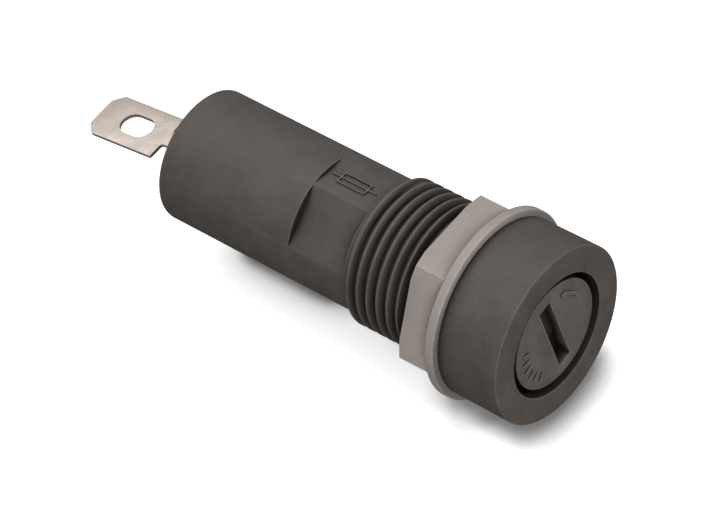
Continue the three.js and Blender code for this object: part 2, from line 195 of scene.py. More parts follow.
class CapSizes(bpy.types.PropertyGroup):
    """The bayonet cap and what it presses on."""

    head: length("Head Radius", "The slotted disc", 4.7)
    skirt_end: length("Skirt End", "Back of the head", -1.5)
    stem: length("Stem Radius", "The sleeve round the fuse clip", 4.35)
    cavity: length("Cavity Radius", "Inside of the stem", 3.45)
    cavity_front: length("Cavity Front", "Bottom of the cavity", -3.2)
    slot_length: length("Slot Length", "Screwdriver slot", 7.14)
    slot_width: length("Slot Width", "Screwdriver slot", 1.36)
    slot_depth: length("Slot Depth", "Screwdriver slot", 1.2)
    slot_step: length("Slot Step Depth", "The shallow part of the slot", 0.85)
    slot_at: angle("Slot Angle", "Which way the slot points when locked", 97)
    lug_front: length("Lug Front", "Front of the bayonet lugs", -2.05)
    lug_root: length("Lug Root", "How deep the lugs are rooted in the head", 0.4)
    lug_width: angle("Lug Width", "Half of the angle that a lug covers", 8)
    relief: length("Mark Relief", "How far the marks stand out", 0.12)
    slot_step_at: length("Slot Step Place", "Where the deep part ends, from the axis", 0.8925)
    head_edge: length("Head Edge", "Rounding of the head", 0.1)
    stem_edge: length("Stem Edge", "Rounding of the stem's end", 0.12)
    slot_edge: length("Slot Edge", "Rounding of the slot and the lugs", 0.05)
    pip: length("Pip Radius", "Gate mark in the slot", 0.13)
    pip_top: length("Pip Top Radius", "Gate mark in the slot", 0.09)
    pip_height: length("Pip Height", "Gate mark in the slot", 0.16)
    pip_round: length("Pip Rounding", "How far the gate mark's middle stands above its rim", 0.04)
    pip_at: length("Pip Place", "Gate mark's distance from the axis", 0.5355)
    mark_line: length("Mark Line", "Half of the width of the arrow's line", 0.15)
    mark_edge: length("Mark Edge", "Rounding of the marks", 0.03)
    arrow: length("Arrow Radius", "Turning arrow, from the axis", 3.5)
    arrow_at: angle("Arrow Angle", "Middle of the turning arrow", 42)
    arrow_half: angle("Arrow Length", "Half of the angle that it covers", 18)
    arrow_foot: length("Arrow Head Foot", "Size of the arrow's head at the cap's face", 0.42)
    arrow_top: length("Arrow Head Top", "Size of the arrow's head at its top", 0.36)
    tick_start: length("Tick Start", "Short ticks, from the axis", 3.15)
    tick_end: length("Tick End", "Short ticks, from the axis", 3.95)
    tick_line: length("Tick Line", "Half of the width of a tick", 0.07)
    tick_at: angle("Tick Angle", "First tick", 162)
    tick_step: angle("Tick Step", "From one tick to the next", 13)
    disc_bore: length("Disc Bore", "Hole in the thrust disc", 1.2)
    disc_edge: length("Disc Edge", "Rounding of the thrust disc", 0.05)
    spring_wire: length("Cap Spring Wire", "Wire radius", 0.2)
    press: length("Cap Press", "How far the cap is pressed in", 0.5)


class FuseSizes(bpy.types.PropertyGroup):
    """The glass cartridge fuse and the clip that holds its front cap."""

    cap_wall: length("Cap Wall", "Sheet of the end caps", 0.14)
    cap_floor: length("Cap Floor", "End wall of the end caps", 0.25)
    glass_bore: length("Glass Bore", "Inside radius of the tube", 1.9)
    element_wire: length("Element Wire", "Radius of the fuse wire", 0.05)
    clip_inside: length("Clip Inside", "Inside radius of the clip", 2.72)
    clip_wall: length("Clip Wall", "Sheet of the clip", 0.3)
    clip_neck: length("Clip Neck", "Where the fingers begin to bulge", 6.4)
    clip_bulge: length("Clip Bulge Radius", "Outside of the bulge", 3.95)
    clip_bulge_at: length("Clip Bulge Place", "Where the fingers touch the sleeve", 7.8)
    clip_slit: length("Clip Slit", "Width of the slits", 0.6)
    clip_slit_start: length("Clip Slit Start", "Front end of the slits", 0.7)
    clip_edge: length("Clip Edge", "Rounding of the clip's drawn end", 0.2)
    cap_edge: length("Cap Edge", "Rounding of the end caps' drawn ends", 0.25)
    cap_lip: length("Cap Lip", "Rounding of the end caps' cut edges", 0.05)
    tube_edge: length("Tube Edge", "Rounding of the glass tube's ends", 0.08)


class ContactSizes(bpy.types.PropertyGroup):
    """The fixed and sprung contacts inside the barrel."""

    sleeve_inside: length("Sleeve Inside", "Inside radius of the contact sleeve", 4.12)
    sleeve_slit: length("Sleeve Slit", "Gap along the sleeve", 0.6)
    cup_inside: length("Cup Inside", "Inside radius of the spring cup", 2.92)
    cup_lip: length("Cup Lip", "Opening that holds the plunger in", 2.15)
    cup_wall: length("Cup Wall", "Sheet of the cup", 0.25)
    plunger_nose: length("Plunger Nose", "Radius of the contact nose", 1.9)
    plunger_bore: length("Plunger Bore", "Hollow in the back of the plunger", 1.1)
    flange_start: length("Flange Start", "Front of the plunger's flange", 21.85)
    spring_wire: length("Contact Spring Wire", "Wire radius", 0.22)
    press: length("Contact Press", "How far the nose is pressed back", 1.2)
    sleeve_edge: length("Sleeve Edge", "Rounding of the contact sleeve", 0.08)
    cup_edge: length("Cup Edge", "Rounding of the spring cup", 0.12)
    flange_edge: length("Flange Edge", "Rounding of the plunger's flange", 0.06)
    nose_depth: length("Nose Depth", "How deep the nose's rounding is", 0.5)
    plunger_floor: length("Plunger Floor", "From the flange forward to the hollow's end", 0.8)
    rivet_at: length("Rivet Place", "Distance behind the panel", 13.4)
    rivet_shank: length("Rivet Shank", "Shank radius", 0.8)
    rivet_hole: length("Rivet Hole", "Hole radius", 0.92)
    rivet_inner: length("Rivet Inner Head", "Head radius inside the sleeve", 1.35)
    rivet_head: length("Rivet Head Height", "Height of both heads", 0.35)


class TerminalSizes(bpy.types.PropertyGroup):
    """The two stamped blades."""

    width: length("Blade Width", "Both blades", 4.5)
    rear_thickness: length("Rear Thickness", "Sheet of the rear blade", 0.35)
    rear_neck: length("Rear Neck", "Strip through the end wall", 1.5)
    rear_shoulder: length("Rear Shoulder", "Neck length outside the wall", 4.0)
    rear_length: length("Rear Length", "Bend to tip", 11.7)
    rear_bend_gap: length("Bend Gap", "Bend's distance behind the wall", 0.25)
    rear_bend: angle("Rear Bend", "How far the rear blade is bent down", -8.7)
    rear_foot: length("Rear Foot Radius", "Plate behind the spring cup", 3.1)
    side_thickness: length("Side Thickness", "Sheet of the side blade", 0.5)
    side_neck: length("Side Neck", "Width of the riveted foot", 3.6)
    side_bend_start: length("Side Bend Start", "Where the foot ends", 15.2)
    side_bend_end: length("Side Bend End", "Where the blade begins", 16.4)
    chamfer: length("Tip Chamfer", "Clipped corners of the tips", 0.9)
    hole_width: length("Hole Width", "Wire hole", 2.14)
    hole_length: length("Hole Length", "Wire hole", 3.3)
    hole_from_tip: length("Hole From Tip", "Wire hole's middle", 4.2)
    edge: length("Blade Edge", "Rounding left by the press tool", 0.06)
    bend_round: length("Bend Rounding", "Rounding of the side blade's bends", 0.3)
    corner_round: length("Corner Rounding", "Rounding of the rear blade's corners", 0.18)


class Finishes(bpy.types.PropertyGroup):
    """Base colours."""

    body: colour("Body Plastic", "Dark moulded body", 0.066, 0.0555, 0.0485)
    cap: colour("Cap Plastic", "Dark moulded cap", 0.090, 0.077, 0.068)
    grey: colour("Grey Plastic", "Nut and washer", 0.262, 0.233, 0.214)
    tinned: colour("Tin Plate", "Terminals, clip and sleeve", 0.52, 0.435, 0.40)
    brass: colour("Brass", "Turned and drawn brass", 0.62, 0.45, 0.22)
    nickel: colour("Nickel", "Fuse end caps", 0.62, 0.60, 0.57)
    steel: colour("Spring Steel", "Springs", 0.42, 0.43, 0.45)
    solder: colour("Solder", "Tin solder", 0.55, 0.54, 0.52)
    glass: colour("Glass", "Fuse tube", 0.93, 0.97, 0.96)
    floor: colour("Floor", "Studio floor", 0.9, 0.9, 0.9)


class FuseHolderSettings(bpy.types.PropertyGroup):
    """Everything that a user can change."""

    body: bpy.props.PointerProperty(type=BodySizes)
    thread: bpy.props.PointerProperty(type=ThreadSizes)
    nut: bpy.props.PointerProperty(type=NutSizes)
    cap: bpy.props.PointerProperty(type=CapSizes)
    fuse: bpy.props.PointerProperty(type=FuseSizes)
    contact: bpy.props.PointerProperty(type=ContactSizes)
    terminal: bpy.props.PointerProperty(type=TerminalSizes)
    finish: bpy.props.PointerProperty(type=Finishes)


def sizes_of(group):
    """A group's lengths in millimetres and its angles in radians."""
    values = SimpleNamespace()
    for key in group.__annotations__:
        is_length = group.bl_rna.properties[key].unit == "LENGTH"
        setattr(values, key, getattr(group, key) / (MM if is_length else 1))
    return values


def reach(node):
    """A CAD node's outer radius and its two ends along the barrel, in millimetres."""
    low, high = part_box(node)
    return SimpleNamespace(radius=max(high.x, high.z) / MM, start=low.y / MM, end=high.y / MM)


# ---------------------------------------------------------------- shapes, in millimetres
def chain(bm, points, closed=False):
    """Edges through (radius, place along the barrel) points."""
    verts = [bm.verts.new((radius, place, 0)) for radius, place in points]
    following = verts[1:] + verts[:1] if closed else verts[1:]
    return verts + [bm.edges.new(pair) for pair in zip(verts, following)]


def tidy(bm):
    """Merges what meets and turns the faces out."""
    bmesh.ops.remove_doubles(bm, verts=bm.verts, dist=1e-5)
    bmesh.ops.dissolve_degenerate(bm, edges=bm.edges, dist=1e-6)
    bmesh.ops.recalc_face_normals(bm, faces=bm.faces)
    return bm


def turned(points, closed=True, sides=ROUND):
    """A round piece about the barrel's axis from its outline."""
    bm = bmesh.new()
    outline = chain(bm, points, closed)
    bmesh.ops.spin(
        bm, geom=outline, cent=(0, 0, 0), axis=AXIS, angle=FULL_TURN, steps=sides, use_merge=True
    )
    return tidy(bm)


def ring(inside, outside, start, end, sides=ROUND):
    """A plain tube about the barrel's axis."""
    return turned([(inside, start), (outside, start), (outside, end), (inside, end)], sides=sides)


def disc(radius, start, end, sides=ROUND):
    """A plain solid round about the barrel's axis."""
    return turned([(0, start), (radius, start), (radius, end), (0, end)], closed=False, sides=sides)


def helix(points, turns, pitch, sides):
    """A section carried round the barrel's axis on a right-hand helix, with its ends closed."""
    bm = bmesh.new()
    outline = chain(bm, points, closed=True)
    steps = round(turns * sides)
    rise = (0, pitch * turns / steps, 0)
    bmesh.ops.spin(
        bm, geom=outline, cent=(0, 0, 0), axis=AXIS, dvec=rise, angle=FULL_TURN * turns, steps=steps
    )
    bmesh.ops.holes_fill(bm, edges=[edge for edge in bm.edges if edge.is_boundary])
    return tidy(bm)


def coil(radius, wire, start, end, turns, sides=SMALL_ROUND):
    """A round-wire spring between two planes."""
    section = [
        (radius + wire * math.cos(a), start + wire + wire * math.sin(a))
        for a in (FULL_TURN * i / 10 for i in range(10))
    ]
    return helix(section, turns, (end - start - 2 * wire) / turns, sides)


def block(low, high):
    """A box between two corners."""
    bm = bmesh.new()
    low, high = Vector(low), Vector(high)
    bmesh.ops.create_cube(bm, size=1)
    bmesh.ops.scale(bm, vec=high - low, verts=bm.verts)
    bmesh.ops.translate(bm, vec=(low + high) / 2, verts=bm.verts)
    return bm


def plate(points, depth, plane="XY"):
    """A flat outline given thickness, upwards from its plane or along X."""
    bm = bmesh.new()
    level = plane == "XY"
    face = bm.faces.new([bm.verts.new((a, b, 0) if level else (0, a, b)) for a, b in points])
    along = (0, 0, depth) if level else (depth, 0, 0)
    made = bmesh.ops.extrude_face_region(bm, geom=[face])["geom"]
    bmesh.ops.translate(
        bm, vec=along, verts=[part for part in made if isinstance(part, bmesh.types.BMVert)]
    )
    return tidy(bm)


def turn(bm, radians, axis=AXIS, about=(0, 0, 0)):
    """Turns a shape. About the barrel, a positive angle goes from +X towards +Z."""
    signed = -radians if axis is AXIS else radians
    matrix = Matrix.Rotation(signed, 3, axis)
    bmesh.ops.rotate(bm, cent=about, matrix=matrix, verts=bm.verts)
    return bm


def shift(bm, x=0, y=0, z=0):
    """Moves a shape."""
    bmesh.ops.translate(bm, vec=(x, y, z), verts=bm.verts)
    return bm


def sector(inside, outside, middle, half, start, end, sides=SMALL_ROUND):
    """A slice of ring about the barrel's axis, centred on an angle."""
    bm = bmesh.new()
    points = [(inside, start), (outside, start), (outside, end), (inside, end)]
    outline = chain(bm, points, closed=True)
    steps = max(3, round(sides * 2 * half / FULL_TURN))
    bmesh.ops.spin(bm, geom=outline, cent=(0, 0, 0), axis=AXIS, angle=2 * half, steps=steps)
    bmesh.ops.holes_fill(bm, edges=[edge for edge in bm.edges if edge.is_boundary])
    return turn(tidy(bm), middle + half)


def soften(bm, width, chosen=None, segments=3, sharper_than=SHARP):
    """Rounds the hard edges, all of them or those that `chosen` picks by their middle point."""
    edges = [
        edge
        for edge in bm.edges
        if edge.is_manifold
        and edge.calc_face_angle(0) > sharper_than
        and (chosen is None or chosen((edge.verts[0].co + edge.verts[1].co) / 2))
    ]
    bmesh.ops.bevel(
        bm,
        geom=edges,
        offset=width,
        affect="EDGES",
        segments=segments,
        profile=0.5,
        material=-1,
        clamp_overlap=True,
    )
    return bm


def rim(radius, place, slack=0.02):
    """Picks the edges of the circle at that radius and place along the barrel."""

    def chosen(point):
        near_radius = abs(math.hypot(point.x, point.z) - radius) < slack
        return near_radius and abs(point.y - place) < slack

    return chosen


def joined(first, *others):
    """One shape that holds several closed shells."""
    for other in others:
        carried = bpy.data.meshes.new("carried")
        other.to_mesh(carried)
        other.free()
        first.from_mesh(carried)
        bpy.data.meshes.remove(carried)
    return first


def carved(bm, *tools, operation="DIFFERENCE"):
    """The shape after each tool is cut from it, or joined or intersected with it."""
    for tool in tools:
        bodies = []
        for shape in (bm, tool):
            mesh = bpy.data.meshes.new("carving")
            shape.to_mesh(mesh)
            shape.free()
            body = bpy.data.objects.new("carving", mesh)
            bpy.context.scene.collection.objects.link(body)
            bodies.append(body)
        modifier = bodies[0].modifiers.new("carving", "BOOLEAN")
        modifier.object = bodies[1]
        modifier.operation = operation
        modifier.solver = "EXACT"
        depsgraph = bpy.context.evaluated_depsgraph_get()
        result = bpy.data.meshes.new_from_object(bodies[0].evaluated_get(depsgraph))
        bm = bmesh.new()
        bm.from_mesh(result)
        bpy.data.meshes.remove(result)
        for body in bodies:
            mesh = body.data
            bpy.data.objects.remove(body)
            bpy.data.meshes.remove(mesh)
        if not bm.faces:
            raise RuntimeError("a cut left nothing of the shape")
        bmesh.ops.remove_doubles(bm, verts=bm.verts, dist=1e-4)
        bmesh.ops.dissolve_degenerate(bm, edges=bm.edges, dist=1e-4)
    return bm


def finish_piece(name, bm, body, material, replaces=()):
    """Brings a shape to metres as a named piece that rides on its body."""
    bmesh.ops.scale(bm, vec=(MM, MM, MM), verts=bm.verts)
    for face in bm.faces:
        face.smooth = True
    for edge in bm.edges:
        edge.smooth = edge.calc_face_angle(0) < SHARP
    old = bpy.data.objects.get(name)
    if old is not None and old.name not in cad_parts:
        bpy.data.objects.remove(old)
    mesh = bpy.data.meshes.new(name)
    bm.to_mesh(mesh)
    bm.free()
    mesh.materials.append(material)
    piece = bpy.data.objects.new(name, mesh)
    bpy.context.scene.collection.objects.link(piece)
    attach(piece, body)
    if replaces:
        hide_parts(*replaces)
    return piece


# ---------------------------------------------------------------- node helpers
class Graph:
    """Short calls for adding nodes to a tree and joining them."""

    def __init__(self, tree):
        self.tree = tree

    def add(self, kind, inputs=None, **settings):
        node = self.tree.nodes.new(kind)
        for key, value in settings.items():
            setattr(node, key, value)
        for key, value in (inputs or {}).items():
            self.feed(node.inputs[key], value)
        return node

    def feed(self, socket, value):
        if isinstance(value, bpy.types.NodeSocket):
            self.tree.links.new(value, socket)
        else:
            socket.default_value = value

    def noise(self, vector, scale, detail=3.0, roughness=0.55, distortion=0.0):
        inputs = {
            "Vector": vector,
            "Scale": scale,
            "Detail": detail,
            "Roughness": roughness,
            "Distortion": distortion,
        }
        return self.add("ShaderNodeTexNoise", inputs).outputs["Fac"]

    def spread(self, value, low, high, to_low=0.0, to_high=1.0):
        inputs = {0: value, 1: low, 2: high, 3: to_low, 4: to_high}
        return self.add("ShaderNodeMapRange", inputs, clamp=True).outputs[0]

    def math(self, operation, first, second=0.0):
        node = self.add("ShaderNodeMath", {0: first, 1: second}, operation=operation)
        return node.outputs[0]

    def mix(self, amount, first, second, blend="MIX"):
        node = self.add("ShaderNodeMix", data_type="RGBA", blend_type=blend)
        self.feed(node.inputs[0], amount)
        self.feed(node.inputs[6], first)
        self.feed(node.inputs[7], second)
        return node.outputs[2]

    def stretched(self, vector, x, y, z):
        inputs = {"Vector": vector, "Scale": (x, y, z)}
        return self.add("ShaderNodeMapping", inputs).outputs["Vector"]


def effect_group(name, inputs, outputs):
    """An empty node group with its sockets, as (group, graph, input node, output node)."""
    group = bpy.data.node_groups.new(name, "ShaderNodeTree")
    kinds = {float: "NodeSocketFloat", tuple: "NodeSocketColor", Vector: "NodeSocketVector"}
    for key, value in inputs.items():
        socket = group.interface.new_socket(key, in_out="INPUT", socket_type=kinds[type(value)])
        socket.default_value = value
    for key, kind in outputs.items():
        group.interface.new_socket(key, in_out="OUTPUT", socket_type=kinds[kind])
    graph = Graph(group)
    return group, graph, graph.add("NodeGroupInput").outputs, graph.add("NodeGroupOutput").inputs


def edge_wear_and_highlight_group():
    """Where a piece's corners stand out, lightened partly as wear and partly as a painted highlight, broken
    up as handling and moulding leave them.
    """
    inputs = {"Width": 0.1 * MM, "Amount": 1.0, "Break Up": 0.5}
    group, graph, given, result = effect_group("Edge wear and highlight", inputs, {"Edge": float})
    place = graph.add("ShaderNodeTexCoord").outputs["Object"]
    rounded = graph.add("ShaderNodeBevel", {"Radius": given["Width"]}, samples=6).outputs["Normal"]
    true = graph.add("ShaderNodeNewGeometry")
    likeness = graph.add(
        "ShaderNodeVectorMath", {0: rounded, 1: true.outputs["Normal"]}, operation="DOT_PRODUCT"
    ).outputs["Value"]
    bent = graph.spread(likeness, 0.995, 0.90)
    outward = graph.spread(true.outputs["Pointiness"], 0.47, 0.53)
    rough = graph.spread(graph.noise(place, 2600, 4), 0.32, 0.62)
    kept = graph.math("SUBTRACT", 1.0, given["Break Up"])
    broken = graph.math("ADD", graph.math("MULTIPLY", rough, given["Break Up"]), kept)
    edge = graph.math("MULTIPLY", graph.math("MULTIPLY", bent, outward), broken)
    graph.feed(result["Edge"], graph.math("MULTIPLY", edge, given["Amount"]))
    return group


def painted_shade_group():
    """Painted shade: darkens the colour where a surface looks out of a groove, a gap or a corner, as little
    light gets there.
    """
    inputs = {"Reach": 1.0 * MM, "Amount": 1.0, "Bore Radius": 0.0, "Bore End": 0.0}
    group, graph, given, result = effect_group("Painted crevice shade", inputs, {"Depth": float})
    # painted shade: ambient occlusion darkens grooves, gaps and corners
    open_sky = graph.add("ShaderNodeAmbientOcclusion", {"Distance": given["Reach"]}, samples=8)
    closed = graph.spread(open_sky.outputs["AO"], 0.95, 0.58)
    place = graph.add("ShaderNodeTexCoord").outputs["Object"]
    split = graph.add("ShaderNodeSeparateXYZ", {0: place}).outputs
    square = graph.math("ADD", graph.math("POWER", split["X"], 2), graph.math("POWER", split["Z"], 2))
    # painted shade: everything inside the given bore, ahead of its given end, is darkened
    inside = graph.math("LESS_THAN", graph.math("SQRT", square), given["Bore Radius"])
    ahead = graph.math("LESS_THAN", split["Y"], given["Bore End"])
    closed = graph.math("MAXIMUM", closed, graph.math("MULTIPLY", inside, ahead))
    graph.feed(result["Depth"], graph.math("MULTIPLY", closed, given["Amount"]))
    return group


def mottle_group():
    """The cloudy colour, uneven sheen and fine pitting of a moulded skin."""
    inputs = {
        "Colour": (0.5, 0.5, 0.5, 1.0),
        "Contrast": 0.15,
        "Cloud Scale": 420.0,
        "Grain Scale": 5200.0,
    }
    outputs = {"Colour": tuple, "Sheen": float, "Height": float}
    group, graph, given, result = effect_group("Moulded skin", inputs, outputs)
    place = graph.add("ShaderNodeTexCoord").outputs["Object"]
    cloud = graph.noise(place, given["Cloud Scale"], 5, 0.6, 0.4)
    grain = graph.noise(place, given["Grain Scale"], 3, 0.65)
    cloud_share = graph.math("MULTIPLY", cloud, 0.6)
    both = graph.math("ADD", cloud_share, graph.math("MULTIPLY", grain, 0.4))
    centred = graph.math("SUBTRACT", both, 0.5)
    lift = graph.math("ADD", graph.math("MULTIPLY", centred, given["Contrast"]), 1.0)
    scaled = graph.add("ShaderNodeVectorMath", {0: given["Colour"], "Scale": lift}, operation="SCALE")
    graph.feed(result["Colour"], scaled.outputs[0])
    graph.feed(result["Sheen"], graph.spread(cloud, 0.3, 0.7))
    pits = graph.spread(graph.noise(place, given["Grain Scale"], 2, 0.5), 0.35, 0.6)
    graph.feed(result["Height"], pits)
    return group


def plating_group():
    """A rolled and plated sheet: fine lines along the strip, dull patches and a faint tint."""
    inputs = {"Colour": (0.6, 0.6, 0.6, 1.0), "Tint": (0.6, 0.6, 0.6, 1.0), "Patch Scale": 900.0}
    outputs = {"Colour": tuple, "Dullness": float, "Height": float}
    group, graph, given, result = effect_group("Plated sheet", inputs, outputs)
    place = graph.add("ShaderNodeTexCoord").outputs["Object"]
    lines = graph.noise(graph.stretched(place, 7000, 260, 7000), 1.0, 3, 0.6)
    patches = graph.noise(place, given["Patch Scale"], 5, 0.7, 0.8)
    tint = graph.mix(graph.spread(patches, 0.40, 0.60), given["Colour"], given["Tint"])
    streak = graph.add("ShaderNodeVectorMath", {0: tint}, operation="SCALE")
    graph.feed(streak.inputs["Scale"], graph.spread(lines, 0.25, 0.75, 0.97, 1.03))
    graph.feed(result["Colour"], streak.outputs[0])
    graph.feed(result["Dullness"], graph.spread(patches, 0.3, 0.7))
    graph.feed(result["Height"], lines)
    return group


def use_group(graph, name, maker, inputs):
    """Adds a node group to a material, made first if it isn't there, and gives its outputs."""
    group = bpy.data.node_groups.get(name) or maker()
    node = graph.add("ShaderNodeGroup", node_tree=group)
    for key, value in inputs.items():
        graph.feed(node.inputs[key], value)
    return node.outputs


def new_material(name):
    """A new material, its graph and its Principled surface."""
    material = bpy.data.materials.new(name)
    material.use_nodes = True
    graph = Graph(material.node_tree)
    return material, graph, material.node_tree.nodes["Principled BSDF"]


def opaque(rgb):
    """A colour with full alpha."""
    return (*rgb, 1.0)


def scaled_colour(rgb, factor):
    """A lighter or darker colour with full alpha."""
    return tuple(min(1.0, channel * factor) for channel in rgb) + (1.0,)


def moulded_plastic(name, rgb, contrast, edge_lift, shade, roughness, specular, bump, bore=(0.0, 0.0)):
    """Matte thermoplastic with a mottled skin, corners lightened partly as wear and partly as painted
    highlight, and painted shade in its hollows.

    `bore` is the radius and the rear end of a hole along the barrel's axis whose inside is painted dark as
    painted shade.
    """
    if name in bpy.data.materials:
        return bpy.data.materials[name]
    material, graph, surface = new_material(name)
    skin = use_group(
        graph, "Moulded skin", mottle_group, {"Colour": opaque(rgb), "Contrast": contrast}
    )
    wear = use_group(graph, "Edge wear and highlight", edge_wear_and_highlight_group, {"Width": 0.2 * MM, "Break Up": 0.45})
    # corners lightened: partly wear, partly painted highlight
    worn_and_lit = graph.mix(wear["Edge"], skin["Colour"], scaled_colour(rgb, edge_lift))
    hole = {"Bore Radius": bore[0], "Bore End": bore[1]}
    hollow = use_group(
        graph, "Painted crevice shade", painted_shade_group, {"Reach": 1.4 * MM, "Amount": shade, **hole}
    )
    # painted shade: hollows, gaps and the bore are darkened in the base colour
    graph.feed(
        surface.inputs["Base Color"], graph.mix(hollow["Depth"], worn_and_lit, scaled_colour(rgb, 0.06))
    )
    graph.feed(
        surface.inputs["Roughness"],
        graph.spread(skin["Sheen"], 0.0, 1.0, roughness - 0.05, roughness + 0.06),
    )
    surface.inputs["Specular IOR Level"].default_value = specular
    relief = graph.add("ShaderNodeBump", {"Strength": 0.35, "Distance": bump, "Height": skin["Height"]})
    graph.feed(surface.inputs["Normal"], relief.outputs["Normal"])
    return material


def plated_metal(name, rgb, tint, roughness, bump):
    """Drawn or stamped metal, a little dull, with corners lightened partly as wear and partly as painted
    highlight.
    """
    if name in bpy.data.materials:
        return bpy.data.materials[name]
    material, graph, surface = new_material(name)
    sheet = use_group(
        graph, "Plated sheet", plating_group, {"Colour": opaque(rgb), "Tint": opaque(tint)}
    )
    wear = use_group(graph, "Edge wear and highlight", edge_wear_and_highlight_group, {"Width": 0.08 * MM, "Break Up": 0.3})
    # corners lightened: partly wear, partly painted highlight
    bright = graph.mix(wear["Edge"], sheet["Colour"], scaled_colour(rgb, 1.18))
    graph.feed(surface.inputs["Base Color"], bright)
    surface.inputs["Metallic"].default_value = 1.0
    graph.feed(
        surface.inputs["Roughness"],
        graph.spread(sheet["Dullness"], 0.0, 1.0, roughness - 0.06, roughness + 0.08),
    )
    relief = graph.add("ShaderNodeBump", {"Strength": 0.4, "Distance": bump, "Height": sheet["Height"]})
    graph.feed(surface.inputs["Normal"], relief.outputs["Normal"])
    return material


def tube_glass(name, rgb):
    """Clear drawn glass with a faint unevenness and a little dust."""
    if name in bpy.data.materials:
        return bpy.data.materials[name]
    material, graph, surface = new_material(name)
    place = graph.add("ShaderNodeTexCoord").outputs["Object"]
    dust = graph.noise(place, 3000, 4, 0.7)
    surface.inputs["Transmission Weight"].default_value = 1.0
    surface.inputs["IOR"].default_value = 1.5
    graph.feed(
        surface.inputs["Base Color"],
        graph.mix(graph.spread(dust, 0.55, 0.75, 0.0, 0.25), opaque(rgb), scaled_colour(rgb, 0.85)),
    )
    graph.feed(surface.inputs["Roughness"], graph.spread(dust, 0.5, 0.8, 0.02, 0.14))
    return material


def studio_floor(name, rgb):
    """Pale paper that glows a little, with a painted contact shadow where the holder comes near."""
    if name in bpy.data.materials:
        return bpy.data.materials[name]
    material, graph, surface = new_material(name)
    place = graph.add("ShaderNodeTexCoord").outputs["Object"]
    uneven = graph.noise(place, 40, 3)
    paper = graph.mix(graph.spread(uneven, 0.3, 0.7), opaque(rgb), scaled_colour(rgb, 0.99))
    # painted contact shadow: the floor's colour and glow darken where the holder comes near
    contact = use_group(graph, "Painted crevice shade", painted_shade_group, {"Reach": 2.8 * MM, "Amount": 0.9})
    shaded = graph.mix(contact["Depth"], paper, scaled_colour(rgb, 0.1))
    graph.feed(surface.inputs["Base Color"], shaded)
    graph.feed(surface.inputs["Emission Color"], shaded)
    surface.inputs["Roughness"].default_value = 0.9
    surface.inputs["Specular IOR Level"].default_value = 0.1
    surface.inputs["Emission Strength"].default_value = 0.45
    return material


def body_plastic(settings):
    """The body's plastic, painted dark as shade inside the recess round the cap."""
    return moulded_plastic(
        "Body plastic",
        settings.finish.body,
        contrast=1.4,
        edge_lift=2.2,
        shade=0.95,
        roughness=0.6,
        specular=0.35,
        bump=0.02 * MM,
        # the recess round the cap is painted dark as painted shade
        bore=(settings.body.mouth + 0.02 * MM, 0.0),
    )


def cap_plastic(finish):
    """The cap's plastic, a little lighter than the body's."""
    return moulded_plastic(
        "Cap plastic",
        finish.cap,
        contrast=1.4,
        edge_lift=2.2,
        shade=1.0,
        roughness=0.58,
        specular=0.35,
        bump=0.02 * MM,
    )


def grey_plastic(finish):
    """The plastic of nut and washer."""
    return moulded_plastic(
        "Grey plastic",
        finish.grey,
        contrast=0.6,
        edge_lift=1.45,
        shade=0.3,
        roughness=0.5,
        specular=0.4,
        bump=0.014 * MM,
    )


def dulled(rgb, factor):
    """The tint of a metal's dull patches."""
    return tuple(channel * factor for channel in rgb)


def tin_plate(finish):
    """Tinned brass sheet with faintly green patches."""
    red, green, blue = finish.tinned
    tint = (red * 0.86, green * 0.96, blue * 0.92)
    return plated_metal("Tin plate", finish.tinned, tint, roughness=0.55, bump=0.006 * MM)


def brass(finish):
    """Bare brass."""
    tint = dulled(finish.brass, 0.8)
    return plated_metal("Brass", finish.brass, tint, roughness=0.32, bump=0.006 * MM)


def nickel(finish):
    """The bright plating of the fuse's caps."""
    tint = dulled(finish.nickel, 0.88)
    return plated_metal("Nickel", finish.nickel, tint, roughness=0.22, bump=0.004 * MM)


def spring_steel(finish):
    """The wire of the springs and of the fuse's element."""
    tint = dulled(finish.steel, 0.85)
    return plated_metal("Spring steel", finish.steel, tint, roughness=0.3, bump=0.004 * MM)


def solder(finish):
    """Dull tin solder."""
    tint = dulled(finish.solder, 0.8)
    return plated_metal("Solder", finish.solder, tint, roughness=0.45, bump=0.02 * MM)


# ---------------------------------------------------------------- shapes that pieces share
def thread_ridge(thread, start, end, taller=0.0, wider=0.0, sides=72):
    """The 60 degree ridge, from just under the root to the crest."""
    crest = thread.major + taller
    top = thread.crest / 2 + wider
    foot = 0.485 * thread.pitch
    foot_radius = crest - (foot - top) / math.tan(math.radians(30))
    blunt = 0.05 * thread.pitch  # the crest's corners are rounded off by this much
    section = [
        (foot_radius, start - foot),
        (crest - blunt, start - top - blunt * 0.3),
        (crest, start - top + blunt * 0.6),
        (crest, start + top - blunt * 0.6),
        (crest - blunt, start + top + blunt * 0.3),
        (foot_radius, start + foot),
    ]
    return helix(section, (end - start) / thread.pitch, thread.pitch, sides)


def flat_cut(distance, facing, start, end):
    """Everything beyond a flat that stands off the axis."""
    far = 8
    return turn(block((distance, start, -far), (distance + far, end, far)), facing)


def rivet_drill(contact, level):
    """An upright drill at the rivet's place, centred on a height."""
    drill = disc(contact.rivet_hole, -4, 4, sides=SMALL_ROUND)
    return shift(turn(drill, math.pi / 2, ACROSS), y=contact.rivet_at, z=level)


def wire_hole(terminal, middle, low, high):
    """The long round-ended hole in a blade."""
    radius = terminal.hole_width / 2
    straight = (terminal.hole_length - terminal.hole_width) / 2
    arc = [math.pi * i / 16 for i in range(17)]
    points = [(radius * math.cos(a), middle + straight + radius * math.sin(a)) for a in arc]
    points += [(-radius * math.cos(a), middle - straight - radius * math.sin(a)) for a in arc]
    return shift(plate(points, high - low), z=low)


def blade_outline(terminal, neck, start, shoulder, tip):
    """A neck that widens to a blade with clipped corners."""
    half = terminal.width / 2
    side = [
        (neck / 2, start),
        (neck / 2, shoulder),
        (half, shoulder),
        (half, tip - terminal.chamfer),
        (half - terminal.chamfer, tip),
    ]
    return side + [(-x, y) for x, y in reversed(side)]


